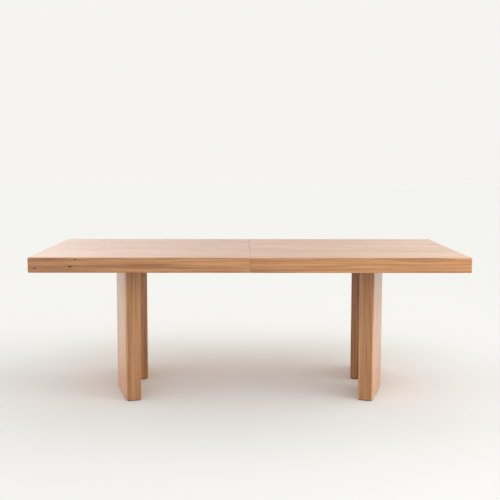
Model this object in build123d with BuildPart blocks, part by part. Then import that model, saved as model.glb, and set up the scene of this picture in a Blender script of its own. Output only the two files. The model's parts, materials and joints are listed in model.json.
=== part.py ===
from build123d import *
from math import acos, cos, pi, radians, sin, tan
import os

# Extendable oak dining table. Two half tops, each on two slab legs, slide apart on a middle frame
# that stays in the centre. Two racks and a pinion keep the halves in step, two latches hold them
# shut, and the extension leaf is stored lengthwise under the middle frame.
# Origin: floor, centre of the closed table. X is the length, -Y the front, +Z up.

# Top
TABLE_LENGTH = 2200.0
TABLE_DEPTH = 1000.0
TABLE_HEIGHT = 760.0
EDGE_HEIGHT = 76.0
BOARD = 26.0           # thickness of the panels, the edge boards and the leaf
SEAM = 0.6
CORNER_R = 6.0
ARRIS_R = 5.0          # round along the upper outer edges
UNDER_R = 3.0          # round along the lower outer edges
SEAM_R = 1.2

HALF_LENGTH = TABLE_LENGTH / 2
HALF_DEPTH = TABLE_DEPTH / 2
Z_EDGE = TABLE_HEIGHT - EDGE_HEIGHT
Z_UNDER = TABLE_HEIGHT - BOARD
BATTEN_X = (800.0, 860.0)
BATTEN_HALF = 395.0
BATTEN_THICK = 30.0
BATTEN_EASE = 4.0
CORNER_BLOCK = 45.0
CORNER_BLOCK_RISE = 10.0

# Fasteners: FIT widens a hole round its screw, PAST is how far a cutter runs beyond a face
FIT = 0.1
PAST = 1.0
SCREW_R = 2.5
SCREW_HEAD_R = 5.0
SCREW_HEAD_HIGH = 3.0
SMALL_SCREW_R = 2.0
SMALL_HEAD_R = 4.0
STUD_R = 3.0
SOCKET_SUNK = 1.8
SCREW_TOP = Z_UNDER + 16.0
HOLE_TOP = SCREW_TOP + 0.5

# Slab legs, turned about the vertical; centres are given for the right half
LEG_THICK = 76.0
LEG_WIDTH = 326.0
LEG_ANGLE = 16.5
LEG_R = 9.0
LEG_FOOT_EASE = 1.5
LEG_CENTRES = {"front": (643.0, -219.5), "back": (656.5, 219.5)}
GLIDE_THICK = 4.0
GLIDE_INSET = 5.0
PLATE_THICK = 6.0
PLATE_WIDE = 120.0
PLATE_LONG = 320.0
PLATE_R = 10.0
Z_PLATE = Z_UNDER - PLATE_THICK
BOLT_R = 4.0
BOLT_HEAD_R = 8.0
BOLT_LENGTH = 66.0
BOLT_SPOTS = [(0, -120), (0, -40), (0, 40), (0, 120)]
PLATE_SCREW_SPOTS = [(x, y) for x in (-49, 49) for y in (-130, 0, 130)]

# Wooden slides: a middle rail with a side groove, and a runner with a tongue under each half
TRAVEL = 260.0
RAIL_IN = 404.0
RAIL_OUT = 438.0
RAIL_HALF = 700.0
RAIL_TOP = Z_UNDER - 0.3
RAIL_BOTTOM = 690.0
GROOVE_DEEP = 12.0
GROOVE_LOW = 706.0
GROOVE_HIGH = 718.0
STOP_LONG = 10.0
RAIL_EASE = 2.0
RUNNER_GAP = 0.4
TONGUE_GAP = 0.5
RUNNER_IN = RAIL_OUT + RUNNER_GAP
RUNNER_OUT = 466.0
RUNNER_START = 5.0
RUNNER_END = 960.0
TONGUE_END = RAIL_HALF - STOP_LONG - TRAVEL - 1.0
RUNNER_SCREW_X = (60.0, 340.0, 640.0, 920.0)
RUNNER_SCREW_Y = 452.0

# Cross bars and gear beam of the middle frame
BAR_X = 360.0
BAR_WIDE = 30.0
BAR_THICK = 10.0
Z_BAR_TOP = Z_UNDER - 0.6
Z_BAR = Z_BAR_TOP - BAR_THICK
Z_BAR_MID = Z_BAR_TOP - BAR_THICK / 2
BEAM_WIDE = 70.0
RAIL_BOLT_SHIFT = 8.0
BEAM_BOLT_Y = 24.0
FRAME_BOLT_R = 3.0
FRAME_BOLT_HEAD_R = 4.8
RAIL_BOLT_LONG = 74.0
BEAM_BOLT_LONG = 55.0

# Rack and pinion
MODULE = 2.5
TEETH = 16
PITCH_R = MODULE * TEETH / 2
TOOTH_PITCH = pi * MODULE
ADDENDUM = 0.8 * MODULE
DEDENDUM = 1.2 * MODULE
BACKLASH = 0.2
PRESSURE = radians(20)
Z_RACK = 714.5
Z_RACK_TOP = 722.0
RACK_BACK = 36.0
RACK_START = -285.0
RACK_END = 470.0
RACK_TEETH_END = 20.0
RACK_BLOCK_X = (385.0, 465.0)
RACK_BLOCK_Y = (20.0, 39.0)
RACK_SCREW_X = (400.0, 450.0)
RACK_SCREW_Y = (PITCH_R + DEDENDUM + RACK_BACK) / 2
AXLE_R = 5.0
AXLE_FIT = 0.05
TURNING_FIT = 0.06

# Extension leaf, stored turned a quarter turn, so its 1 m width lies along X
LEAF_WIDE = 500.0
Z_LEAF = 686.0
PIN_R = 5.0
PIN_SPOTS = (-300.0, 0.0, 300.0)
PIN_DEEP = 40.0
PIN_OUT = 12.0
PIN_TIP = 3.0
PIN_TIP_R = PIN_R - 2.0
SOCKET_DEEP = 16.0
SOCKET_R = PIN_R + 0.4
Z_PIN = TABLE_HEIGHT - BOARD / 2
CLIP_THICK = 1.5
CLIP_WIDE = 24.0
CLIP_GAP = 3.0         # between the leaf and a clip, filled by its pad
CLIP_FOOT_Y = 284.0
CLIP_SCREW_Y = 272.0
CLIP_BEND = 2.0
CLIP_LIP = 4.0
Z_CLIP_LIP = 692.0
Z_CLIP_END = 687.0
PAD_HALF = 10.0
PAD_GAP = 0.3
PAD_Z = (695.0, 707.0)

# Turning latches at the seam
LATCH_X = -30.0
LATCH_Y = 340.0
LATCH_REACH = 55.0
LATCH_Z = 726.3
LATCH_THICK = 6.2
LATCH_EYE_R = 12.0
LATCH_ARM_WIDE = 15.0
LATCH_TAIL_X = -22.0
LATCH_TAB_X = -28.0
LATCH_TAB_DROP = 12.0
SLOT_TURN = 30.0
KEEPER_R = 4.0
KEEPER_HEAD_R = 7.0
KEEPER_HEAD_HIGH = 2.5
SHOULDER_R = 9.0
PIVOT_HEAD_R = 8.5
PIVOT_HEAD_HIGH = 3.5
PLAY = 0.3             # between a turning piece and the head or shoulder beside it

MIN_Z = (Align.CENTER, Align.CENTER, Align.MIN)
SIDES = {"left": -1, "right": 1}


def save(piece, name):
    """Label one finished piece and write it as its own STEP."""
    piece.part.label = name
    export_step(piece.part, f"parts/{name}.step")


def box(x_span, y_span, z_span, mode=Mode.ADD):
    """A plain block between two limits along each axis, in the open part."""
    x, y, z = sorted(x_span), sorted(y_span), sorted(z_span)
    centre = ((x[0] + x[1]) / 2, (y[0] + y[1]) / 2, (z[0] + z[1]) / 2)
    with Locations(centre):
        Box(x[1] - x[0], y[1] - y[0], z[1] - z[0], mode=mode)


def drill(spots, z_low, z_high, radius):
    """Upright round holes in the open part."""
    with Locations(*[(x, y, z_low) for x, y in spots]):
        Cylinder(radius, z_high - z_low, align=MIN_Z, mode=Mode.SUBTRACT)


def sink(spots, z_face, head_r, hole_r, facing=1):
    """Conical seats for countersunk heads: facing 1 opens upward, -1 downward."""
    deep = head_r - hole_r
    turn = (180, 0, 0) if facing > 0 else (0, 0, 0)
    with Locations(*[(x, y, z_face) for x, y in spots]):
        Cone(head_r, hole_r, deep, rotation=turn, align=MIN_Z, mode=Mode.SUBTRACT)


def flat_screws(spots, z_head, z_tip, radius, head_r, socket_r):
    """Countersunk screws whose flat heads lie at z_head, with hexagon sockets."""
    up = 1 if z_tip > z_head else -1
    turn = (0, 0, 0) if up > 0 else (180, 0, 0)
    with BuildPart() as screws:
        with Locations(*[Location((x, y, z_head), turn) for x, y in spots]):
            Cylinder(radius, abs(z_tip - z_head) - radius, align=MIN_Z)
            Cone(head_r, radius, head_r - radius, align=MIN_Z)
        with Locations(*[Location((x, y, z_tip - up * radius), turn) for x, y in spots]):
            Cone(radius, radius * 0.2, radius, align=MIN_Z)
        with BuildSketch(Plane.XY.offset(z_head)):
            with Locations(*spots):
                RegularPolygon(socket_r, 6)
        extrude(amount=up * SOCKET_SUNK, mode=Mode.SUBTRACT)
    return screws


# ---------------------------------------------------------------- half tops

def half_shell(side):
    """A half top as one block: eased outside, hollow under the panel, open at the seam."""
    with BuildPart() as shell:
        box((side * SEAM / 2, side * HALF_LENGTH), (-HALF_DEPTH, HALF_DEPTH), (Z_EDGE, TABLE_HEIGHT))
        upright = shell.edges().filter_by(Axis.Z).sort_by(Axis.X)
        fillet(upright[2:] if side > 0 else upright[:2], CORNER_R)
        for place, radius in ((-1, ARRIS_R), (0, UNDER_R)):
            flat = shell.faces().filter_by(Axis.Z).sort_by(Axis.Z)[place]
            fillet([edge for edge in flat.edges() if side * edge.center().X > SEAM], radius)
        seam_face = shell.faces().filter_by(Axis.X).sort_by(Axis.X)[0 if side > 0 else -1]
        fillet(seam_face.edges(), SEAM_R)
        box(
            (0, side * (HALF_LENGTH - BOARD)),
            (BOARD - HALF_DEPTH, HALF_DEPTH - BOARD),
            (Z_EDGE - PAST, Z_UNDER),
            mode=Mode.SUBTRACT,
        )
    return shell.part


def keep_inside(planes):
    """Trim the open part to the side that each plane's normal points to."""
    for origin, normal in planes:
        split(bisect_by=Plane(origin=origin, z_dir=normal), keep=Keep.TOP)


def half_top(name, side):
    """The four boards of one half top, cut from one block by mitres that meet at the arrises."""
    shell = half_shell(side)
    front = (0, -HALF_DEPTH, TABLE_HEIGHT)
    back = (0, HALF_DEPTH, TABLE_HEIGHT)
    end = (side * HALF_LENGTH, 0, TABLE_HEIGHT)
    front_corner = (side * HALF_LENGTH, -HALF_DEPTH, Z_EDGE)
    back_corner = (side * HALF_LENGTH, HALF_DEPTH, Z_EDGE)

    with BuildPart() as panel:
        add(shell)
        keep_inside([(front, (0, 1, 1)), (back, (0, -1, 1)), (end, (-side, 0, 1))])
        screw_spots = plate_screw_spots(side) + runner_screw_spots(side)
        drill(screw_spots, Z_UNDER - PAST, HOLE_TOP, SCREW_R + FIT)
        drill(rack_screw_spots(side), Z_UNDER - PAST, HOLE_TOP, SMALL_SCREW_R + FIT)
        latch_x = LATCH_X if side < 0 else LATCH_X + LATCH_REACH
        drill([(latch_x, LATCH_Y), (latch_x, -LATCH_Y)], Z_UNDER - PAST, HOLE_TOP, STUD_R + FIT)
        hole_r = PIN_R + FIT if side < 0 else SOCKET_R
        deep = PIN_DEEP + 0.5 if side < 0 else SOCKET_DEEP
        with Locations(*[Location((0, y, Z_PIN), (0, side * 90, 0)) for y in PIN_SPOTS]):
            Cylinder(hole_r, deep, align=MIN_Z, mode=Mode.SUBTRACT)
    save(panel, f"{name}_top_panel")

    with BuildPart() as front_edge:
        add(shell)
        keep_inside([(front, (0, -1, -1)), (front_corner, (-side, -1, 0))])
    save(front_edge, f"{name}_front_edge")

    with BuildPart() as back_edge:
        add(shell)
        keep_inside([(back, (0, 1, -1)), (back_corner, (-side, 1, 0))])
    save(back_edge, f"{name}_back_edge")

    with BuildPart() as end_edge:
        add(shell)
        keep_inside([(end, (side, 0, -1)), (front_corner, (side, 1, 0)), (back_corner, (side, -1, 0))])
    save(end_edge, f"{name}_end_edge")


def end_supports(name, side):
    """Glued batten across the end of the panel, and triangular blocks in the two outer corners."""
    with BuildPart() as batten:
        x_span = [side * x for x in BATTEN_X]
        box(x_span, (-BATTEN_HALF, BATTEN_HALF), (Z_UNDER - BATTEN_THICK, Z_UNDER))
        chamfer(batten.faces().filter_by(Axis.Z).sort_by(Axis.Z)[0].edges(), BATTEN_EASE)
    save(batten, f"{name}_end_batten")

    corner_x = HALF_LENGTH - BOARD
    corner_y = HALF_DEPTH - BOARD
    with BuildPart() as blocks:
        with BuildSketch(Plane.XY.offset(Z_EDGE + CORNER_BLOCK_RISE)):
            for row in (-1, 1):
                with BuildLine():
                    Polyline(
                        (side * corner_x, row * corner_y),
                        (side * (corner_x - CORNER_BLOCK), row * corner_y),
                        (side * corner_x, row * (corner_y - CORNER_BLOCK)),
                        close=True,
                    )
                make_face()
        extrude(amount=Z_UNDER - Z_EDGE - CORNER_BLOCK_RISE)
    save(blocks, f"{name}_corner_blocks")


# ---------------------------------------------------------------- legs

def leg_plane(side, row, height):
    """Plan of one leg: local X across the slab, local Y along it."""
    x, y = LEG_CENTRES[row]
    turn = radians(-side * LEG_ANGLE)
    return Plane(origin=(side * x, y, height), x_dir=(cos(turn), sin(turn), 0), z_dir=(0, 0, 1))


def leg_spots(side, row, spots):
    """Points of a leg's plan, as X and Y of the table."""
    plane = leg_plane(side, row, 0)
    places = [plane.from_local_coords(Vector(x, y, 0)) for x, y in spots]
    return [(place.X, place.Y) for place in places]


def plate_screw_spots(side):
    """Centres of the screws that hold both leg plates of one half."""
    return [spot for row in LEG_CENTRES for spot in leg_spots(side, row, PLATE_SCREW_SPOTS)]


def leg(name, side, row):
    """One slab leg and the steel plate on its top."""
    spots = leg_spots(side, row, BOLT_SPOTS)
    with BuildPart() as slab:
        with BuildSketch(leg_plane(side, row, GLIDE_THICK)):
            RectangleRounded(LEG_THICK, LEG_WIDTH, LEG_R)
        extrude(amount=Z_PLATE - GLIDE_THICK)
        chamfer(slab.faces().filter_by(Axis.Z).sort_by(Axis.Z)[0].edges(), LEG_FOOT_EASE)
        drill(spots, Z_UNDER - BOLT_LENGTH - 2 * PAST, Z_PLATE + PAST, BOLT_R + FIT)
    save(slab, f"{row}_{name}_leg")

    with BuildPart() as plate:
        with BuildSketch(leg_plane(side, row, Z_PLATE)):
            RectangleRounded(PLATE_WIDE, PLATE_LONG, PLATE_R)
        extrude(amount=PLATE_THICK)
        drill(spots, Z_PLATE - PAST, Z_UNDER + PAST, BOLT_R + FIT)
        sink(spots, Z_UNDER, BOLT_HEAD_R + FIT, BOLT_R + FIT, facing=1)
        screw_spots = leg_spots(side, row, PLATE_SCREW_SPOTS)
        drill(screw_spots, Z_PLATE - PAST, Z_UNDER + PAST, SCREW_R + FIT)
    save(plate, f"{row}_{name}_leg_plate")


def leg_hardware(name, side):
    """Bolts, plate screws and glides of the two legs under one half."""
    bolt_spots = [spot for row in LEG_CENTRES for spot in leg_spots(side, row, BOLT_SPOTS)]
    bolts = flat_screws(bolt_spots, Z_UNDER, Z_UNDER - BOLT_LENGTH, BOLT_R, BOLT_HEAD_R, 3.0)
    save(bolts, f"{name}_leg_bolts")

    screw_spots = plate_screw_spots(side)
    with BuildPart() as screws:
        with Locations(*[(x, y, Z_PLATE) for x, y in screw_spots]):
            Cylinder(SCREW_R, SCREW_TOP - Z_PLATE, align=MIN_Z)
        with Locations(*[Location((x, y, Z_PLATE), (180, 0, 0)) for x, y in screw_spots]):
            Cylinder(SCREW_HEAD_R, SCREW_HEAD_HIGH, align=MIN_Z)
        with BuildSketch(Plane.XY.offset(Z_PLATE - SCREW_HEAD_HIGH)):
            with Locations(*screw_spots):
                RegularPolygon(SCREW_R - 0.3, 6)
        extrude(amount=SOCKET_SUNK, mode=Mode.SUBTRACT)
    save(screws, f"{name}_plate_screws")

    with BuildPart() as glides:
        for row in LEG_CENTRES:
            with BuildSketch(leg_plane(side, row, 0)):
                RectangleRounded(
                    LEG_THICK - 2 * GLIDE_INSET, LEG_WIDTH - 2 * GLIDE_INSET, LEG_R - GLIDE_INSET / 2
                )
            extrude(amount=GLIDE_THICK)
    save(glides, f"{name}_glides")


# ---------------------------------------------------------------- slides

def runner_screw_spots(side):
    """Centres of the screws that hold both runners of one half."""
    return [(side * x, row * RUNNER_SCREW_Y) for x in RUNNER_SCREW_X for row in (-1, 1)]


def runner(name, side, row_name, row):
    """A runner under a half top, with its tongue in the middle rail's groove."""
    spots = [(side * x, row * RUNNER_SCREW_Y) for x in RUNNER_SCREW_X]
    with BuildPart() as bar:
        box(
            (side * RUNNER_START, side * RUNNER_END),
            (row * RUNNER_IN, row * RUNNER_OUT),
            (RAIL_BOTTOM, Z_UNDER),
        )
        box(
            (side * RUNNER_START, side * TONGUE_END),
            (row * (RAIL_OUT - GROOVE_DEEP + TONGUE_GAP), row * RUNNER_OUT),
            (GROOVE_LOW + RUNNER_GAP, GROOVE_HIGH - RUNNER_GAP),
        )
        drill(spots, RAIL_BOTTOM - PAST, Z_UNDER + PAST, SCREW_R + FIT)
        sink(spots, RAIL_BOTTOM, SCREW_HEAD_R + FIT, SCREW_R + FIT, facing=-1)
    save(bar, f"{name}_{row_name}_runner")


def middle_rail(row_name, row):
    """A middle rail: wooden bar with a groove along its outer side, bolted to the cross bars."""
    with BuildPart() as rail:
        box((-RAIL_HALF, RAIL_HALF), (row * RAIL_IN, row * RAIL_OUT), (RAIL_BOTTOM, RAIL_TOP))
        low_edges = rail.faces().filter_by(Axis.Z).sort_by(Axis.Z)[0].edges()
        chamfer(low_edges.filter_by(Axis.X), RAIL_EASE)
        box(
            (-RAIL_HALF, RAIL_HALF),
            (row * (RAIL_OUT - GROOVE_DEEP), row * (RAIL_OUT + PAST)),
            (GROOVE_LOW, GROOVE_HIGH),
            mode=Mode.SUBTRACT,
        )
        with Locations(*rail_bolt_places(row)):
            Cylinder(FRAME_BOLT_R + FIT, RAIL_BOLT_LONG, align=MIN_Z, mode=Mode.SUBTRACT)
            deep = FRAME_BOLT_HEAD_R - FRAME_BOLT_R
            Cone(FRAME_BOLT_HEAD_R + FIT, FRAME_BOLT_R + FIT, deep, align=MIN_Z, mode=Mode.SUBTRACT)
    save(rail, f"{row_name}_middle_rail")


def rail_bolt_places(row):
    """Heads of the bolts through a middle rail into the cross bars, pointing inward along Y."""
    turn = (90 * row, 0, 0)
    places = []
    for side in (-1, 1):
        for shift in (-RAIL_BOLT_SHIFT, RAIL_BOLT_SHIFT):
            places.append(Location((side * BAR_X + shift, row * RAIL_OUT, Z_BAR_MID), turn))
    return places


def beam_bolt_places():
    """Heads of the bolts through the cross bars into the gear beam, pointing inward along X."""
    head_x = BAR_X + BAR_WIDE / 2
    places = []
    for side in (-1, 1):
        for y in (-BEAM_BOLT_Y, BEAM_BOLT_Y):
            places.append(Location((side * head_x, y, Z_BAR_MID), (0, -90 * side, 0)))
    return places


def middle_frame():
    """Cross bars, gear beam, their bolts, and the stops that close the rail grooves."""
    for name, side in SIDES.items():
        with BuildPart() as bar:
            box(
                (side * BAR_X - BAR_WIDE / 2, side * BAR_X + BAR_WIDE / 2),
                (-RAIL_IN, RAIL_IN),
                (Z_BAR, Z_BAR_TOP),
            )
            with Locations(*rail_bolt_places(-1), *rail_bolt_places(1)):
                Cylinder(FRAME_BOLT_R + FIT, RAIL_BOLT_LONG + PAST, align=MIN_Z, mode=Mode.SUBTRACT)
            with Locations(*beam_bolt_places()):
                Cylinder(FRAME_BOLT_R + FIT, BEAM_BOLT_LONG, align=MIN_Z, mode=Mode.SUBTRACT)
                Cone(
                    FRAME_BOLT_HEAD_R + FIT,
                    FRAME_BOLT_R + FIT,
                    FRAME_BOLT_HEAD_R - FRAME_BOLT_R,
                    align=MIN_Z,
                    mode=Mode.SUBTRACT,
                )
            drill(clip_screw_spots(), Z_BAR - PAST, Z_BAR_TOP - 2 * PAST, SMALL_SCREW_R + FIT)
        save(bar, f"{name}_cross_bar")

    beam_half = BAR_X - BAR_WIDE / 2
    with BuildPart() as beam:
        box((-beam_half, beam_half), (-BEAM_WIDE / 2, BEAM_WIDE / 2), (Z_BAR, Z_BAR_TOP))
        drill([(0, 0)], Z_BAR - PAST, Z_BAR_TOP + PAST, AXLE_R + AXLE_FIT)
        with Locations(*beam_bolt_places()):
            Cylinder(FRAME_BOLT_R + FIT, BEAM_BOLT_LONG + PAST, align=MIN_Z, mode=Mode.SUBTRACT)
    save(beam, "gear_beam")

    with BuildPart() as bolts:
        with Locations(*rail_bolt_places(-1), *rail_bolt_places(1)):
            Cylinder(FRAME_BOLT_R, RAIL_BOLT_LONG, align=MIN_Z)
            Cone(FRAME_BOLT_HEAD_R, FRAME_BOLT_R, FRAME_BOLT_HEAD_R - FRAME_BOLT_R, align=MIN_Z)
        with Locations(*beam_bolt_places()):
            Cylinder(FRAME_BOLT_R, BEAM_BOLT_LONG, align=MIN_Z)
            Cone(FRAME_BOLT_HEAD_R, FRAME_BOLT_R, FRAME_BOLT_HEAD_R - FRAME_BOLT_R, align=MIN_Z)
    save(bolts, "frame_bolts")

    with BuildPart() as stops:
        for side in (-1, 1):
            for row in (-1, 1):
                box(
                    (side * (RAIL_HALF - STOP_LONG), side * RAIL_HALF),
                    (row * (RAIL_OUT - GROOVE_DEEP), row * RAIL_OUT),
                    (GROOVE_LOW, GROOVE_HIGH),
                )
    save(stops, "rail_stops")


# ---------------------------------------------------------------- rack and pinion

def tooth_outline():
    """One involute tooth about the local +X axis, from below the root circle to the tip circle."""
    base_r = PITCH_R * cos(PRESSURE)
    half_at_pitch = (TOOTH_PITCH - BACKLASH * 2) / 4 / PITCH_R

    def half_angle(radius):
        slope = acos(min(1.0, base_r / radius))
        return half_at_pitch + (tan(PRESSURE) - PRESSURE) - (tan(slope) - slope)

    steps = 5
    radii = [base_r + (PITCH_R + ADDENDUM - base_r) * step / steps for step in range(steps + 1)]
    flank = [(PITCH_R - DEDENDUM - PAST, half_angle(base_r))] + [(r, half_angle(r)) for r in radii]
    upper = [(r * cos(angle), r * sin(angle)) for r, angle in flank]
    lower = [(x, -y) for x, y in reversed(upper)]
    return lower + upper


def sync_pinion():
    """The pinion that turns on the axle under the middle of the gear beam."""
    with BuildPart() as pinion:
        with BuildSketch(Plane.XY.offset(Z_RACK)):
            Circle(PITCH_R - DEDENDUM)
            with PolarLocations(0, TEETH):
                Polygon(*tooth_outline(), align=None)
            Circle(AXLE_R + TURNING_FIT, mode=Mode.SUBTRACT)
        extrude(amount=Z_RACK_TOP - Z_RACK)
    save(pinion, "sync_pinion")


def pinion_axle():
    """Flanged axle pressed into the gear beam, and the open ring that keeps the pinion on it."""
    tail = 1.9
    ring_thick = 0.9
    ring_r = 8.0
    ring_mouth = 6.0
    groove_r = AXLE_R - 0.8
    groove_play = 0.1
    z_ring = Z_RACK - PLAY - ring_thick
    with BuildPart() as axle:
        with Locations((0, 0, Z_RACK - tail)):
            Cylinder(AXLE_R, Z_BAR_TOP - Z_RACK + tail, align=MIN_Z)
        with Locations((0, 0, Z_RACK_TOP + PLAY)):
            Cylinder(ring_r, Z_BAR - Z_RACK_TOP - PLAY, align=MIN_Z)
        with BuildSketch(Plane.XY.offset(z_ring - groove_play)):
            Circle(AXLE_R + PAST)
            Circle(groove_r, mode=Mode.SUBTRACT)
        extrude(amount=ring_thick + 2 * groove_play, mode=Mode.SUBTRACT)
    save(axle, "pinion_axle")

    with BuildPart() as ring:
        with BuildSketch(Plane.XY.offset(z_ring)):
            Circle(ring_r)
            Circle(groove_r + AXLE_FIT, mode=Mode.SUBTRACT)
            with Locations((ring_mouth, 0)):
                Rectangle(2 * ring_mouth, ring_mouth, mode=Mode.SUBTRACT)
        extrude(amount=ring_thick)
    save(ring, "pinion_retainer")


def rack_screw_spots(side):
    """Centres of the two screws through a rack and its block."""
    return [(side * x, -side * RACK_SCREW_Y) for x in RACK_SCREW_X]


def rack(name, side):
    """A rack that reaches past the pinion, its spacer block and the screws that hold them."""
    row = -side
    root_y = PITCH_R + DEDENDUM
    tooth_half = TOOTH_PITCH / 4 - BACKLASH / 2
    tip_half = tooth_half - ADDENDUM * tan(PRESSURE)
    tooth_root = 0.5       # how far a tooth reaches into the bar
    root_half = tooth_half + (DEDENDUM + tooth_root) * tan(PRESSURE)
    first = -int(-RACK_START // TOOTH_PITCH) + 0.5
    count = int((RACK_TEETH_END - RACK_START) // TOOTH_PITCH)
    centres = [side * (first + index) * TOOTH_PITCH for index in range(count)]
    spots = rack_screw_spots(side)
    with BuildPart() as bar:
        with BuildSketch(Plane.XY.offset(Z_RACK)):
            with Locations((side * (RACK_START + RACK_END) / 2, row * (root_y + RACK_BACK) / 2)):
                Rectangle(RACK_END - RACK_START, RACK_BACK - root_y)
            with Locations(*[(x, 0) for x in centres]):
                Polygon(
                    (-root_half, row * (root_y + tooth_root)),
                    (-tip_half, row * (PITCH_R - ADDENDUM)),
                    (tip_half, row * (PITCH_R - ADDENDUM)),
                    (root_half, row * (root_y + tooth_root)),
                    align=None,
                )
        extrude(amount=Z_RACK_TOP - Z_RACK)
        drill(spots, Z_RACK - PAST, Z_RACK_TOP + PAST, SMALL_SCREW_R + FIT)
        sink(spots, Z_RACK, SMALL_HEAD_R + FIT, SMALL_SCREW_R + FIT, facing=-1)
    save(bar, f"{name}_rack")

    with BuildPart() as block:
        x_span = [side * x for x in RACK_BLOCK_X]
        y_span = [row * y for y in RACK_BLOCK_Y]
        box(x_span, y_span, (Z_RACK_TOP, Z_UNDER))
        drill(spots, Z_RACK_TOP - PAST, Z_UNDER + PAST, SMALL_SCREW_R + FIT)
    save(block, f"{name}_rack_block")

    screws = flat_screws(spots, Z_RACK, SCREW_TOP, SMALL_SCREW_R, SMALL_HEAD_R, 1.6)
    save(screws, f"{name}_rack_screws")


# ---------------------------------------------------------------- leaf and its clips

def leaf():
    """The extension leaf, with pins along one long edge and sockets along the other."""
    z_mid = Z_LEAF + BOARD / 2
    with BuildPart() as panel:
        box((-HALF_DEPTH, HALF_DEPTH), (-LEAF_WIDE / 2, LEAF_WIDE / 2), (Z_LEAF, Z_LEAF + BOARD))
        fillet(panel.edges(), SEAM_R)
        with Locations(*[Location((x, -LEAF_WIDE / 2, z_mid), (-90, 0, 0)) for x in PIN_SPOTS]):
            Cylinder(PIN_R + FIT, PIN_DEEP + 0.5, align=MIN_Z, mode=Mode.SUBTRACT)
        with Locations(*[Location((x, LEAF_WIDE / 2, z_mid), (90, 0, 0)) for x in PIN_SPOTS]):
            Cylinder(SOCKET_R, SOCKET_DEEP, align=MIN_Z, mode=Mode.SUBTRACT)
    save(panel, "extension_leaf")

    with BuildPart() as pins:
        with Locations(*[Location((x, PIN_DEEP - LEAF_WIDE / 2, z_mid), (90, 0, 0)) for x in PIN_SPOTS]):
            Cylinder(PIN_R, PIN_DEEP + PIN_OUT - PIN_TIP, align=MIN_Z)
        tip_y = PIN_TIP - LEAF_WIDE / 2 - PIN_OUT
        with Locations(*[Location((x, tip_y, z_mid), (90, 0, 0)) for x in PIN_SPOTS]):
            Cone(PIN_R, PIN_TIP_R, PIN_TIP, align=MIN_Z)
    save(pins, "leaf_pins")


def seam_pins():
    """Wooden pins in the left half's seam edge that line up with the sockets of the right half."""
    with BuildPart() as pins:
        with Locations(*[Location((-PIN_DEEP, y, Z_PIN), (0, 90, 0)) for y in PIN_SPOTS]):
            Cylinder(PIN_R, PIN_DEEP + PIN_OUT - PIN_TIP, align=MIN_Z)
        with Locations(*[Location((PIN_OUT - PIN_TIP, y, Z_PIN), (0, 90, 0)) for y in PIN_SPOTS]):
            Cone(PIN_R, PIN_TIP_R, PIN_TIP, align=MIN_Z)
    save(pins, "left_seam_pins")


def clip_screw_spots():
    """Centres of the four screws that hold the leaf clips to the cross bars."""
    return [(side * BAR_X, row * CLIP_SCREW_Y) for side in (-1, 1) for row in (-1, 1)]


def leaf_clips():
    """Four sprung steel clips with rubber pads that grip the long sides of the stored leaf."""
    leg_y = LEAF_WIDE / 2 + CLIP_GAP + CLIP_THICK / 2
    foot_z = Z_BAR - CLIP_THICK / 2
    with BuildPart() as clips:
        for side in (-1, 1):
            for row in (-1, 1):
                with BuildSketch(Plane.YZ.offset(side * BAR_X - CLIP_WIDE / 2)):
                    with BuildLine():
                        FilletPolyline(
                            (row * CLIP_FOOT_Y, foot_z),
                            (row * leg_y, foot_z),
                            (row * leg_y, Z_CLIP_LIP),
                            (row * (leg_y + CLIP_LIP), Z_CLIP_END),
                            radius=CLIP_BEND,
                        )
                    trace(line_width=CLIP_THICK)
                extrude(amount=CLIP_WIDE)
        drill(clip_screw_spots(), Z_BAR - CLIP_THICK - PAST, Z_BAR + PAST, SMALL_SCREW_R + FIT)
    save(clips, "leaf_clips")

    with BuildPart() as pads:
        for side in (-1, 1):
            for row in (-1, 1):
                box(
                    (side * BAR_X - PAD_HALF, side * BAR_X + PAD_HALF),
                    (row * (LEAF_WIDE / 2 + PAD_GAP), row * (leg_y - CLIP_THICK / 2)),
                    PAD_Z,
                )
    save(pads, "leaf_clip_pads")

    shank = 9.0
    head_high = 2.6
    z_foot = Z_BAR - CLIP_THICK
    with BuildPart() as screws:
        with Locations(*[(x, y, z_foot) for x, y in clip_screw_spots()]):
            Cylinder(SMALL_SCREW_R, shank, align=MIN_Z)
        with Locations(*[Location((x, y, z_foot), (180, 0, 0)) for x, y in clip_screw_spots()]):
            Cylinder(SMALL_HEAD_R, head_high, align=MIN_Z)
        with BuildSketch(Plane.XY.offset(z_foot - head_high)):
            with Locations(*clip_screw_spots()):
                RegularPolygon(SMALL_SCREW_R - 0.2, 6)
        extrude(amount=SOCKET_SUNK, mode=Mode.SUBTRACT)
    save(screws, "leaf_clip_screws")


# ---------------------------------------------------------------- latches

def latch(row_name, row):
    """A turning latch, drawn open: arm towards the middle of the table, mouth towards the seam."""
    pivot = Plane(origin=(LATCH_X, row * LATCH_Y, LATCH_Z), x_dir=(0, -row, 0), z_dir=(0, 0, 1))
    slot_path = CenterArc((0, 0), LATCH_REACH, 0, row * SLOT_TURN)
    with BuildPart() as lever:
        with BuildSketch(pivot):
            Circle(LATCH_EYE_R)
            Rectangle(LATCH_REACH, LATCH_ARM_WIDE, align=(Align.MIN, Align.CENTER))
            with Locations((LATCH_REACH, 0)):
                Circle(LATCH_EYE_R)
            with Locations((LATCH_TAIL_X, 0)):
                RectangleRounded(22.0, 16.0, 4.0)
            SlotArc(slot_path, 2 * (KEEPER_R + TONGUE_GAP), mode=Mode.SUBTRACT)
            Circle(AXLE_R + TURNING_FIT, mode=Mode.SUBTRACT)
        extrude(amount=LATCH_THICK)
        with BuildSketch(pivot):
            with Locations((LATCH_TAB_X, 0)):
                RectangleRounded(7.0, 12.0, 2.5)
        extrude(amount=-LATCH_TAB_DROP)
    save(lever, f"{row_name}_latch")


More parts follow.
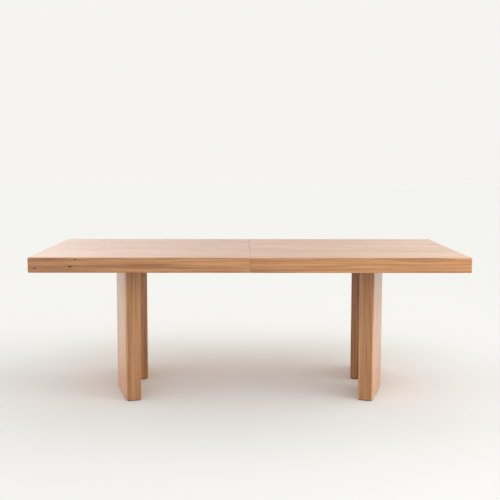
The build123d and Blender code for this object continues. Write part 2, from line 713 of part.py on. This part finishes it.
def headed_stud(x, y, head_r, head_high, shank_r, gap):
    """A stud hung from a half top, in the open part: head, shank, shoulder and screwed end."""
    head_top = LATCH_Z - PLAY
    shoulder_low = LATCH_Z + LATCH_THICK + gap
    with Locations((x, y, head_top - head_high)):
        Cylinder(head_r, head_high, align=MIN_Z)
    with Locations((x, y, head_top)):
        Cylinder(shank_r, Z_UNDER - head_top, align=MIN_Z)
    with Locations((x, y, shoulder_low)):
        Cylinder(SHOULDER_R, Z_UNDER - shoulder_low, align=MIN_Z)
    with Locations((x, y, Z_UNDER)):
        Cylinder(STUD_R, SCREW_TOP - Z_UNDER, align=MIN_Z)


def latch_hardware():
    """Shoulder screws that the latches turn on, and the headed studs that they catch."""
    with BuildPart() as pivots:
        for row in (-1, 1):
            headed_stud(LATCH_X, row * LATCH_Y, PIVOT_HEAD_R, PIVOT_HEAD_HIGH, AXLE_R, PLAY)
        with BuildSketch(Plane.XY.offset(LATCH_Z - PLAY - PIVOT_HEAD_HIGH)):
            with Locations((LATCH_X, LATCH_Y), (LATCH_X, -LATCH_Y)):
                RegularPolygon(3.4, 6)
        extrude(amount=SOCKET_SUNK, mode=Mode.SUBTRACT)
    save(pivots, "latch_pivots")

    keeper_x = LATCH_X + LATCH_REACH
    with BuildPart() as keepers:
        for row in (-1, 1):
            headed_stud(keeper_x, row * LATCH_Y, KEEPER_HEAD_R, KEEPER_HEAD_HIGH, KEEPER_R, 0.4)
    save(keepers, "latch_keepers")


# ---------------------------------------------------------------- assembly

for side_name, side_sign in SIDES.items():
    half_top(side_name, side_sign)
    end_supports(side_name, side_sign)
    for leg_row in LEG_CENTRES:
        leg(side_name, side_sign, leg_row)
    leg_hardware(side_name, side_sign)
    for rail_name, rail_sign in (("front", -1), ("back", 1)):
        runner(side_name, side_sign, rail_name, rail_sign)
    runner_spots = runner_screw_spots(side_sign)
    runner_screws = flat_screws(runner_spots, RAIL_BOTTOM, SCREW_TOP, SCREW_R, SCREW_HEAD_R, 2.0)
    save(runner_screws, f"{side_name}_runner_screws")
    rack(side_name, side_sign)

for rail_name, rail_sign in (("front", -1), ("back", 1)):
    middle_rail(rail_name, rail_sign)
    latch(rail_name, rail_sign)
middle_frame()
sync_pinion()
pinion_axle()
leaf()
seam_pins()
leaf_clips()
latch_hardware()
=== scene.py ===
import json
from math import pi, radians

import bpy
from mathutils import Matrix, Vector


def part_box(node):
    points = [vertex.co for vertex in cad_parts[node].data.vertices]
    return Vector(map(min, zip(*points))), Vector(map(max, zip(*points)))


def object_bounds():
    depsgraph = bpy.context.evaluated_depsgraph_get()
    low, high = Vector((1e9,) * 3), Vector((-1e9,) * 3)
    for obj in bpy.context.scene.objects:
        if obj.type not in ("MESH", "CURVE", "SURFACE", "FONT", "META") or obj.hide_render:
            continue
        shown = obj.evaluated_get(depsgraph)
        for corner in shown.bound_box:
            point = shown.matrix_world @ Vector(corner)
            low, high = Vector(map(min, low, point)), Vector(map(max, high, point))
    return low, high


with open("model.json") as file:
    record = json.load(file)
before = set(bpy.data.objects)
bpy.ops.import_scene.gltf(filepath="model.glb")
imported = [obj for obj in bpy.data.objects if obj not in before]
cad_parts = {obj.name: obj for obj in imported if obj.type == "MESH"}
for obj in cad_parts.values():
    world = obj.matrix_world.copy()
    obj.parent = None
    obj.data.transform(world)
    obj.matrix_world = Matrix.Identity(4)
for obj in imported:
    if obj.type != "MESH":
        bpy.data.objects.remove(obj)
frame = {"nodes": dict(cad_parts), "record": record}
cad_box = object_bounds()
nodes = frame["nodes"]

# Places from the CAD model, in metres
HALF_LENGTH, HALF_DEPTH, TABLE_HEIGHT = cad_box[1]
EDGE_MIDDLE = sum(corner.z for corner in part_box("left_front_edge")) / 2
LEG_ANGLE = radians(16.5)

# Staves and grain: the width of a stave, of one growth ring, and the depth of the middle of the tree
TOP_STAVE = 0.125
LEG_STAVE = 0.0815
RING = 0.0042
PITH = 0.07

# The long edge boards: how far aside the middle of their tree lies, and a painted light gradient that
# lightens them towards +X, standing in for light from the right
EDGE_RIFT = 0.08
EDGE_PAINTED_LIGHT_RISE = 0.14

# Which timber a board is cut from: a number for each half of the table, and steps from it
HALF_SEEDS = {"left": 3.0, "right": 8.0}
EDGE_SEED_STEP = 1.3
END_SEED_STEP = 3.4
LEG_SEED_STEPS = {"front": 10.0, "back": 12.7}
LEAF_SEED = 41.0

# Light oak, linear colours
OAK_PALE = (0.58, 0.29, 0.125, 1)
OAK_DEEP = (0.28, 0.10, 0.034, 1)
OAK_PORE = (0.18, 0.064, 0.022, 1)
OAK_RAY = (0.64, 0.39, 0.21, 1)
KNOT = (0.075, 0.030, 0.015, 1)
OAK_ROUGH = 0.20

# How light each leg's wood is; the back left slab is the same wood as the back right, and its extra
# paleness is painted light
LEG_TONES_AND_PAINTED_LIGHT = {
    ("front", "left"): 1.15,
    ("front", "right"): 1.15,
    ("back", "left"): 1.4,
    ("back", "right"): 1.15,
}

# Knots in the left front board: place along X, height over the middle of the board, half length
LEFT_FRONT_KNOTS = ((-1.064, -0.016, 0.010), (-0.891, -0.006, 0.013), (-0.864, 0.0285, 0.009))

# How high a knot is, as a share of its length
KNOT_FLATNESS = 0.42

# The room: its far wall and its floor, linear colours
BACKDROP = (0.91, 0.905, 0.87, 1)
FLOOR = (0.73, 0.73, 0.72, 1)

# What a glow's colour is multiplied by
NEUTRAL = (1.0, 1.0, 1.0)
WARM = (1.05, 1.0, 0.9)
COOL = (0.9, 1.0, 1.1)

# A softbox close by on the right: its place, the point it looks at, its size and its power
LAMP = ((2.2, -1.6, 2.6), (0.3, -0.2, 0.6), 1.4, 15.0)

# Strengths of the studio's glows: most are at full strength, one is a stop down and one two stops
KEY = 2.0
ONE_STOP_DOWN = KEY / 2
TWO_STOPS_DOWN = KEY / 4

# Soft light from far off: where each glow stands, how tight it is, its strength and its colour
SOFTBOXES = (
    ((-0.6, 1.0, 0.12), 20.0, KEY, NEUTRAL),
    ((0.7, 1.0, 0.12), 20.0, KEY, WARM),
    ((0.0, 0.8, 0.6), 8.0, KEY, NEUTRAL),
    ((0.0, -0.7, 0.7), 10.0, KEY, COOL),
    ((-1.0, 0.0, 0.2), 3.0, KEY, WARM),
    ((1.0, 0.0, 0.2), 3.0, KEY, WARM),
    ((1.0, 0.0, 0.7), 8.0, ONE_STOP_DOWN, NEUTRAL),
    ((0.0, -1.0, 0.3), 3.0, TWO_STOPS_DOWN, NEUTRAL),
)

# The camera: its place, its turns, its sensor's width and its lens in millimetres
CAMERA_PLACE = (-0.032, -4.704, 1.244)
CAMERA_YAW = radians(0.42)
CAMERA_PITCH = radians(6.05)
CAMERA_ROLL = radians(0.10)
CAMERA_SENSOR = 36.0
CAMERA_LENS = 61.7
CAMERA_REACH = 200.0

# Half the side of the floor
FLOOR_HALF = 40.0


# ------------------------------------------------------------------ node helpers

class Graph:
    """The nodes of a material or a world, with one short call for each kind of node they need."""

    def __init__(self, owner):
        owner.use_nodes = True
        self.owner = owner
        self.tree = owner.node_tree
        self.tree.nodes.clear()

    def put(self, kind, inputs, **settings):
        """A node with its settings and inputs set; an input is a number, a colour or a socket."""
        made = self.tree.nodes.new(kind)
        for key, value in settings.items():
            setattr(made, key, value)
        for key, value in inputs.items():
            if isinstance(value, bpy.types.NodeSocket):
                self.tree.links.new(value, made.inputs[key])
            else:
                made.inputs[key].default_value = value
        return made

    def math(self, operation, a, b=0.0, clamp=False):
        return self.put("ShaderNodeMath", {0: a, 1: b}, operation=operation, use_clamp=clamp).outputs[0]

    def add(self, a, b):
        return self.math("ADD", a, b)

    def mul(self, a, b):
        return self.math("MULTIPLY", a, b)

    def sub(self, a, b):
        return self.math("SUBTRACT", a, b)

    def span(self, value, low, high, to_low=0.0, to_high=1.0):
        """value carried smoothly from low..high to to_low..to_high."""
        inputs = {"Value": value, "From Min": low, "From Max": high, "To Min": to_low, "To Max": to_high}
        return self.put("ShaderNodeMapRange", inputs, interpolation_type="SMOOTHSTEP").outputs[0]

    def vector(self, x, y, z):
        return self.put("ShaderNodeCombineXYZ", {0: x, 1: y, 2: z}).outputs[0]

    def noise(self, place, scale=1.0, detail=2.0, rough=0.5):
        inputs = {"Vector": place, "Scale": scale, "Detail": detail, "Roughness": rough}
        return self.put("ShaderNodeTexNoise", inputs).outputs[0]

    def mix(self, factor, a, b, blend="MIX"):
        """Colours a and b mixed; sockets 0, 6 and 7 are the factor and the two colours."""
        settings = {"data_type": "RGBA", "blend_type": blend}
        return self.put("ShaderNodeMix", {0: factor, 6: a, 7: b}, **settings).outputs[2]

    def ramp(self, factor, stops):
        made = self.put("ShaderNodeValToRGB", {0: factor})
        elements = made.color_ramp.elements
        while len(elements) < len(stops):
            elements.new(1.0)
        for element, (place, value) in zip(elements, stops):
            element.position = place
            element.color = (value, value, value, 1)
        return made.outputs[0]

    def scale_colour(self, colour, factor):
        grey = self.put("ShaderNodeCombineColor", {0: factor, 1: factor, 2: factor}).outputs[0]
        return self.mix(1.0, colour, grey, "MULTIPLY")

    def object_place(self):
        """Where a point lies in the table's own frame."""
        return self.put("ShaderNodeTexCoord", {}).outputs["Object"]

    def split(self, place):
        return self.put("ShaderNodeSeparateXYZ", {0: place}).outputs

    def bump(self, height, distance, strength):
        inputs = {"Height": height, "Distance": distance, "Strength": strength}
        return self.put("ShaderNodeBump", inputs).outputs[0]

    def surface(self, colour, roughness, normal, **fixed):
        """The closing shader; fixed sets its other sockets to constants."""
        inputs = {"Base Color": colour, "Roughness": roughness, "Normal": normal}
        shader = self.put("ShaderNodeBsdfPrincipled", inputs)
        for key, value in fixed.items():
            shader.inputs[key.replace("_", " ")].default_value = value
        self.put("ShaderNodeOutputMaterial", {0: shader.outputs[0]})
        return self.owner


# ------------------------------------------------------------------ oak

def oak(name, axes, origin, seed, stave=None, rift=0.0, turn=0.0, knots=(), tone_and_painted_light=1.0, painted_light_rise=0.0):
    """Oiled oak cut from solid rings, with its staves side by side across the grain.

    axes names the axis along the grain, across the face and into the depth; origin is a point on
    the face, stave the width of one stave or None for one board, rift how far to one side the
    middle of the tree lies, turn the plan angle of a leg, and knots hold along, across and half
    length of each knot. tone is the lightness at the origin, which on the back left leg is raised by
    painted light, and fade is a painted light gradient: the rise of that lightness per metre of board.
    """
    g = Graph(bpy.data.materials.new(name))
    from_origin = {0: g.object_place(), 1: origin}
    place = g.put("ShaderNodeVectorMath", from_origin, operation="SUBTRACT").outputs[0]
    if turn:
        inputs = {"Vector": place, "Axis": (0, 0, 1), "Angle": -turn}
        place = g.put("ShaderNodeVectorRotate", inputs, rotation_type="AXIS_ANGLE").outputs[0]
    by_axis = dict(zip("XYZ", g.split(place)))
    along, across, depth = (by_axis[axis] for axis in axes)

    # which stave, and its own random numbers
    index, in_stave, gap = 0.0, across, None
    if stave:
        steps = g.math("DIVIDE", across, stave)
        index = g.math("FLOOR", steps)
        in_stave = g.mul(g.sub(g.sub(steps, index), 0.5), stave)
        gap = g.sub(stave / 2, g.math("ABSOLUTE", in_stave))
    key = g.vector(index, seed, seed * 0.37)
    chance = g.put("ShaderNodeTexWhiteNoise", {"Vector": key}, noise_dimensions="3D")
    parts = g.put("ShaderNodeSeparateColor", {0: chance.outputs["Color"]}).outputs
    random_a, random_b, random_c = parts[0:3]
    far = g.add(along, g.add(g.mul(random_c, 17.0), seed))

    def drawn(along_scale, cross_scale, detail=2.0, rough=0.5):
        """Noise drawn out along the grain."""
        x, y, z = g.mul(far, along_scale), g.mul(across, cross_scale), g.mul(depth, cross_scale)
        return g.noise(g.vector(x, y, z), 1.0, detail, rough)

    # distance from the middle of the tree, which wanders slowly along the board
    side = g.add(g.mul(g.sub(random_a, 0.5), 0.05), rift)
    v = g.add(g.sub(in_stave, side), g.mul(g.sub(drawn(0.8, 1.5, 1.0), 0.5), 0.10))
    sway = g.mul(g.sub(g.noise(g.vector(far, 7.3, seed), 0.8, 1.0), 0.5), 0.15)
    w = g.add(g.add(depth, sway), g.add(g.mul(random_b, 0.04), PITH))
    distance = g.math("SQRT", g.add(g.mul(v, v), g.mul(w, w)))
    distance = g.add(distance, g.mul(g.sub(drawn(5.0, 16.0), 0.5), 0.008))
    distance = g.add(distance, g.mul(g.sub(drawn(26.0, 60.0), 0.5), 0.0016))

    # knots push the rings round them
    knot_dark = None
    for number, (knot_along, knot_across, half) in enumerate(knots):
        run = g.math("DIVIDE", g.sub(along, knot_along), half)
        rise = g.math("DIVIDE", g.sub(across, knot_across), half * KNOT_FLATNESS)
        reach = g.math("SQRT", g.add(g.mul(run, run), g.mul(rise, rise)))
        ragged = g.noise(g.vector(g.mul(along, 90.0), number * 7.0, g.mul(across, 260.0)), 1.0, 2.0)
        reach = g.add(reach, g.mul(g.sub(ragged, 0.5), 0.9))
        distance = g.add(distance, g.span(reach, 0.6, 3.6, RING * 1.4, 0.0))
        dark = g.span(reach, 0.35, 1.35, 1.0, 0.0)
        knot_dark = dark if knot_dark is None else g.math("MAXIMUM", knot_dark, dark)

    # early wood is the dark start of each ring; several rings together make a broad streak
    rings = g.math("DIVIDE", distance, RING)
    in_ring = g.math("FRACT", rings)
    ring_light = ((0.0, 0.10), (0.10, 0.30), (0.40, 0.86), (0.82, 1.0), (0.97, 0.45), (1.0, 0.10))
    band = g.ramp(in_ring, ring_light)
    group = g.noise(g.vector(g.mul(rings, 0.30), g.mul(far, 0.6), seed), 1.0, 2.0, 0.6)
    light = g.add(g.mul(band, 0.18), g.mul(g.span(group, 0.33, 0.62), 0.42))
    broad = g.span(drawn(1.6, 30.0, 3.0, 0.6), 0.30, 0.70)
    fine = g.span(drawn(3.0, 110.0, 2.0, 0.6), 0.38, 0.62)
    light = g.add(light, g.mul(broad, 0.18))
    light = g.add(light, g.mul(g.sub(fine, 0.20), 0.46))
    fibre = drawn(14.0, 700.0, 2.0, 0.6)
    light = g.math("ADD", light, g.mul(g.sub(fibre, 0.42), 0.22), clamp=True)
    colour = g.mix(light, OAK_DEEP, OAK_PALE)

    # open pores are short dark dashes, thickest in the early wood
    early = g.span(in_ring, 0.05, 0.45, 0.16, 0.0)
    pore = g.span(g.add(drawn(120.0, 2400.0, 1.0), early), 0.66, 0.76)
    colour = g.mix(g.mul(pore, 0.55), colour, OAK_PORE)

    # medullary rays are pale flakes
    flake = g.span(drawn(42.0, 330.0, 0.0), 0.70, 0.80)
    colour = g.mix(g.mul(flake, 0.22), colour, OAK_RAY)

    # each stave has its own tone, which drifts along it, and a fine glue line beside it; the lightness
    # also holds painted light: a rise towards +X on the long edge boards and extra paleness on the back
    # left leg
    shade = g.add(g.mul(g.sub(random_b, 0.5), 0.14), g.add(g.mul(along, painted_light_rise), tone_and_painted_light))
    shade = g.add(shade, g.mul(g.sub(drawn(1.8, 6.0), 0.5), 0.24))
    colour = g.scale_colour(colour, shade)
    if gap is not None:
        colour = g.scale_colour(colour, g.span(gap, 0.0001, 0.0008, 0.72, 1.0))
    if knot_dark is not None:
        colour = g.mix(g.mul(knot_dark, 0.92), colour, KNOT)

    relief = g.sub(g.mul(fibre, 0.5), pore)
    normal = g.bump(relief, 0.00007, 0.6)
    rough = g.add(g.add(g.mul(g.sub(fibre, 0.5), 0.14), g.mul(pore, 0.22)), OAK_ROUGH)
    return g.surface(colour, rough, normal, IOR=1.5)


def beech(name, grain="X", seed=0.0):
    """Waxed beech of the hidden rails: pinkish, even, with small dark flecks along the grain."""
    g = Graph(bpy.data.materials.new(name))
    x, y, z = g.split(g.object_place())[0:3]
    along, across, depth = {"X": (x, y, z), "Y": (y, x, z), "Z": (z, y, x)}[grain]
    far = g.add(along, seed)
    streak = g.noise(g.vector(g.mul(far, 3.0), g.mul(across, 60.0), g.mul(depth, 60.0)), 1.0, 3.0)
    fleck = g.noise(g.vector(g.mul(far, 160.0), g.mul(across, 1400.0), g.mul(depth, 1400.0)), 1.0, 0.0)
    colour = g.mix(g.span(streak, 0.25, 0.75), (0.48, 0.27, 0.15, 1), (0.62, 0.39, 0.235, 1))
    colour = g.mix(g.mul(g.span(fleck, 0.66, 0.74), 0.6), colour, (0.24, 0.11, 0.055, 1))
    normal = g.bump(streak, 0.0002, 0.4)
    return g.surface(colour, g.add(g.mul(streak, 0.2), 0.38), normal, IOR=1.5)


# ------------------------------------------------------------------ metal, plastic, rubber, felt

def steel(name, colour, rough, brushed=0.0):
    """Steel with fine brushing, faint stains and slightly uneven gloss."""
    g = Graph(bpy.data.materials.new(name))
    place = g.object_place()
    x, y, z = g.split(place)[0:3]
    lines = g.noise(g.vector(g.mul(x, 60.0), g.mul(y, 3000.0), g.mul(z, 3000.0)), 1.0, 2.0)
    stain = g.noise(place, 35.0, 3.0)
    dark = tuple(part * 0.72 for part in colour[:3]) + (1,)
    shown = g.mix(g.add(g.mul(lines, 0.4), g.mul(stain, 0.5)), dark, colour)
    gloss = g.add(g.mul(stain, 0.18), rough)
    return g.surface(shown, gloss, g.bump(lines, 0.00004, brushed), Metallic=1.0)


def powder_coat(name, colour):
    """Powder-coated steel: fine orange peel with dust in its hollows."""
    g = Graph(bpy.data.materials.new(name))
    place = g.object_place()
    peel = g.noise(place, 1900.0, 1.0)
    dust = g.noise(place, 18.0, 4.0)
    pale = tuple(min(1.0, part + 0.035) for part in colour[:3]) + (1,)
    shown = g.mix(g.span(dust, 0.45, 0.75), colour, pale)
    return g.surface(shown, g.add(g.mul(dust, 0.22), 0.36), g.bump(peel, 0.00006, 0.7), IOR=1.5)


def moulded(name, colour, rough):
    """Moulded nylon or rubber: faint mottling, fine surface texture and scuffs."""
    g = Graph(bpy.data.materials.new(name))
    place = g.object_place()
    grain = g.noise(place, 2600.0, 2.0)
    mottle = g.noise(place, 70.0, 3.0)
    dark = tuple(part * 0.82 for part in colour[:3]) + (1,)
    shown = g.mix(g.span(mottle, 0.3, 0.7), dark, colour)
    return g.surface(shown, g.add(g.mul(mottle, 0.2), rough), g.bump(grain, 0.00008, 0.6), IOR=1.5)


def felt(name, colour):
    """Pressed wool felt: tangled fibres with a soft sheen."""
    g = Graph(bpy.data.materials.new(name))
    place = g.object_place()
    fuzz = g.noise(place, 1500.0, 4.0, 0.7)
    clump = g.noise(place, 220.0, 2.0)
    pale = tuple(part * 1.8 for part in colour[:3]) + (1,)
    shown = g.mix(g.add(g.mul(fuzz, 0.6), g.mul(clump, 0.3)), colour, pale)
    normal = g.bump(fuzz, 0.0004, 0.9)
    return g.surface(shown, 0.95, normal, Sheen_Weight=0.4, Sheen_Roughness=0.6)


# ------------------------------------------------------------------ finishes on the CAD nodes

def paint(node, material):
    """Give every slot of a CAD node one material."""
    for slot in nodes[node].material_slots:
        slot.material = material


def paint_oak():
    """Give each board, leg and the leaf oak of its own."""
    for half, side in (("left", -1), ("right", 1)):
        seed = HALF_SEEDS[half]
        top_face = (0, 0, TABLE_HEIGHT)
        paint(f"{half}_top_panel", oak(f"oak_{half}_top", "XYZ", top_face, seed, TOP_STAVE))
        for row, facing in (("front", -1), ("back", 1)):
            face = (0, facing * HALF_DEPTH, EDGE_MIDDLE)
            knots = LEFT_FRONT_KNOTS if (half, row) == ("left", "front") else ()
            name = f"{half}_{row}_edge"
            edge_seed = seed + EDGE_SEED_STEP * facing
            # the long edge boards get a painted light gradient, lighter towards +X
            board = oak(f"oak_{name}", "XZY", face, edge_seed, rift=EDGE_RIFT, knots=knots, painted_light_rise=EDGE_PAINTED_LIGHT_RISE)
            paint(name, board)
        end_face = (side * HALF_LENGTH, 0, EDGE_MIDDLE)
        paint(f"{half}_end_edge", oak(f"oak_{half}_end_edge", "YZX", end_face, seed + END_SEED_STEP))
        for row, step in LEG_SEED_STEPS.items():
            name = f"{row}_{half}_leg"
            low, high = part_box(name)
            centre = ((low.x + high.x) / 2, (low.y + high.y) / 2, 0)
            # the back left leg's extra lightness is painted light
            tone_and_painted_light, turn = LEG_TONES_AND_PAINTED_LIGHT[row, half], -side * LEG_ANGLE
            board = oak(f"oak_{name}", "ZYX", centre, seed + step, LEG_STAVE, turn=turn, tone_and_painted_light=tone_and_painted_light)
            paint(name, board)
    leaf_face = (0, 0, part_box("extension_leaf")[1].z)
    paint("extension_leaf", oak("oak_leaf", "XYZ", leaf_face, LEAF_SEED, TOP_STAVE))


def paint_hidden():
    """Give every other node the finish that its material slot names."""
    rail_beech = beech("beech_rails", "X", 2.0)
    cross_beech = beech("beech_battens", "Y", 5.0)
    black = powder_coat("black_powder_coat", (0.012, 0.012, 0.013, 1))
    zinc = steel("zinc_plated_steel", (0.66, 0.67, 0.69, 1), 0.26, 0.3)
    spring = steel("spring_steel", (0.44, 0.46, 0.50, 1), 0.30, 0.6)
    nylon = moulded("white_nylon", (0.80, 0.79, 0.74, 1), 0.34)
    rubber = moulded("black_rubber", (0.020, 0.020, 0.021, 1), 0.62)
    wool = felt("dark_felt", (0.030, 0.022, 0.018, 1))
    by_slot = {
        "beech": rail_beech,
        "black_steel": black,
        "zinc_steel": zinc,
        "spring_steel": spring,
        "nylon": nylon,
        "rubber": rubber,
        "felt": wool,
    }
    for part in frame["record"]["subparts"]:
        if part["material_slot"] in by_slot:
            paint(part["node"], by_slot[part["material_slot"]])
    for half in ("left", "right"):
        paint(f"{half}_end_batten", cross_beech)
    paint("leaf_pins", cross_beech)


paint_oak()
paint_hidden()


# ------------------------------------------------------------------ stage, light and camera

def floor():
    """A wide pale floor, seen only from above."""
    mesh = bpy.data.meshes.new("floor")
    corners = [(x * FLOOR_HALF, y * FLOOR_HALF, 0) for x, y in ((-1, -1), (1, -1), (1, 1), (-1, 1))]
    mesh.from_pydata(corners, [], [(0, 1, 2, 3)])
    plane = bpy.data.objects.new("floor", mesh)
    bpy.context.scene.collection.objects.link(plane)
    g = Graph(bpy.data.materials.new("floor_paint"))
    diffuse = g.put("ShaderNodeBsdfDiffuse", {"Color": FLOOR})
    clear = g.put("ShaderNodeBsdfTransparent", {})
    under = g.put("ShaderNodeNewGeometry", {}).outputs["Backfacing"]
    mixed = g.put("ShaderNodeMixShader", {0: under, 1: diffuse.outputs[0], 2: clear.outputs[0]})
    g.put("ShaderNodeOutputMaterial", {0: mixed.outputs[0]})
    mesh.materials.append(g.owner)


def lamp(place, aim, size, watts):
    """A square softbox that looks at a point."""
    data = bpy.data.lights.new("softbox", "AREA")
    data.size = size
    data.energy = watts
    made = bpy.data.objects.new("softbox", data)
    bpy.context.scene.collection.objects.link(made)
    made.location = place
    made.rotation_euler = (Vector(aim) - Vector(place)).to_track_quat("-Z", "Y").to_euler()


def studio():
    """White studio: a pale backdrop all round, and soft lights that glow from their own directions."""
    g = Graph(bpy.data.worlds.new("studio"))
    bpy.context.scene.world = g.owner
    toward = g.put("ShaderNodeTexCoord", {}).outputs["Generated"]
    total = (0.0, 0.0, 0.0)
    for axis, spread, strength, tint in SOFTBOXES:
        sides = {0: toward, 1: Vector(axis).normalized()}
        facing = g.put("ShaderNodeVectorMath", sides, operation="DOT_PRODUCT")
        glow = g.math("POWER", g.math("MAXIMUM", facing.outputs["Value"], 0.0), spread)
        shade = tuple(part * strength for part in tint)
        added = {0: g.vector(glow, glow, glow), 1: shade, 2: total}
        total = g.put("ShaderNodeVectorMath", added, operation="MULTIPLY_ADD").outputs[0]
    light = g.put("ShaderNodeBackground", {"Color": total})
    backdrop = g.put("ShaderNodeBackground", {"Color": BACKDROP})
    camera_ray = g.put("ShaderNodeLightPath", {}).outputs["Is Camera Ray"]
    mixed = g.put("ShaderNodeMixShader", {0: camera_ray, 1: light.outputs[0], 2: backdrop.outputs[0]})
    g.put("ShaderNodeOutputWorld", {0: mixed.outputs[0]})


def camera():
    """Eye-level view from the front, looking down a little on the top."""
    data = bpy.data.cameras.new("camera")
    data.sensor_width = CAMERA_SENSOR
    data.lens = CAMERA_LENS
    data.clip_end = CAMERA_REACH
    made = bpy.data.objects.new("camera", data)
    bpy.context.scene.collection.objects.link(made)
    yaw = Matrix.Rotation(-CAMERA_YAW, 4, "Z")
    pitch = Matrix.Rotation(pi / 2 - CAMERA_PITCH, 4, "X")
    roll = Matrix.Rotation(CAMERA_ROLL, 4, "Z")
    made.matrix_world = Matrix.Translation(CAMERA_PLACE) @ yaw @ pitch @ roll
    bpy.context.scene.camera = made


floor()
studio()
lamp(*LAMP)
camera()
bpy.context.scene.view_settings.view_transform = "Standard"
